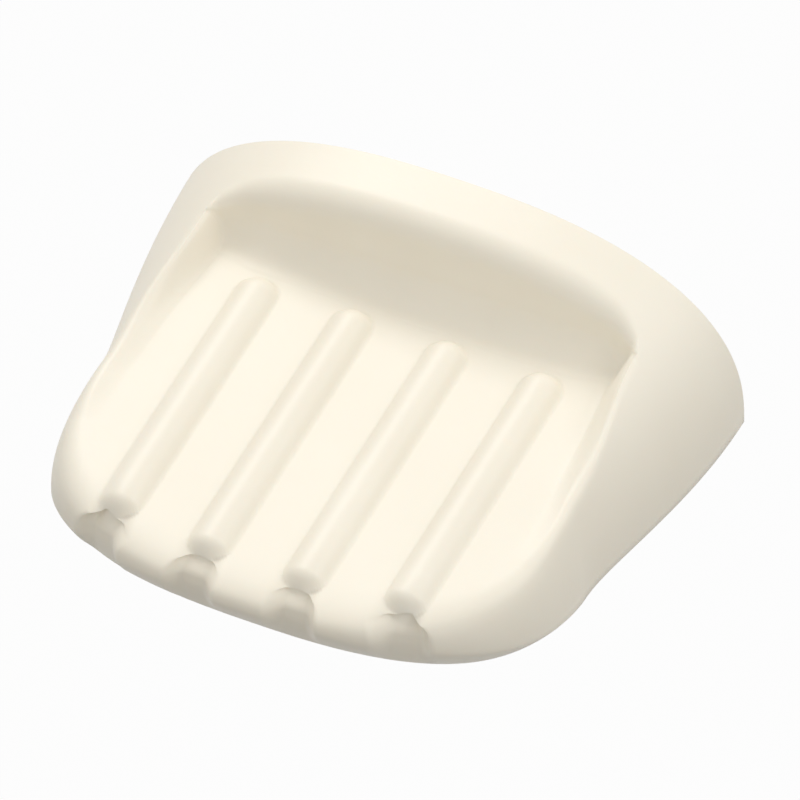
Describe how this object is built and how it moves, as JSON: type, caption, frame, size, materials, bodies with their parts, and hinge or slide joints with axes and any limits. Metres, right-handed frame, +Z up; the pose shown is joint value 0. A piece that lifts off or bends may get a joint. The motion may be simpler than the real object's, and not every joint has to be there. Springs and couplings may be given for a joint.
{
  "type": "wall-hung soap dish",
  "caption": "Wall-hung soap dish with a ribbed tray, a raised back and a rolled, notched lip; it hooks over a hidden steel bracket and a slanting screw from below locks it.",
  "frame": {"origin": "on the wall plane, midway between the bracket's two screw holes, level with the back of the tray floor", "axes": "+Z up, +X to the right as seen from the room, +Y into the wall, so the dish stands out along -Y"},
  "size_m": [0.151, 0.127, 0.0505],
  "materials": {
    "cream_ceramic": "satin",
    "gasket_foam": "matte",
    "bracket_steel": "brushed",
    "bush_brass": "satin",
    "screw_steel": "satin"
  },
  "bodies": {
    "bracket": {"wall_bracket": "bracket_steel"},
    "dish": {"dish_body": "cream_ceramic", "back_gasket": "gasket_foam", "lock_bush": "bush_brass", "lock_screw": "screw_steel"}
  },
  "joints": [
    {"name": "lift_off", "type": "slide", "parent": "bracket", "child": "dish", "axis": [0, 0, 1], "range_m": [0, 0.007]}
  ]
}
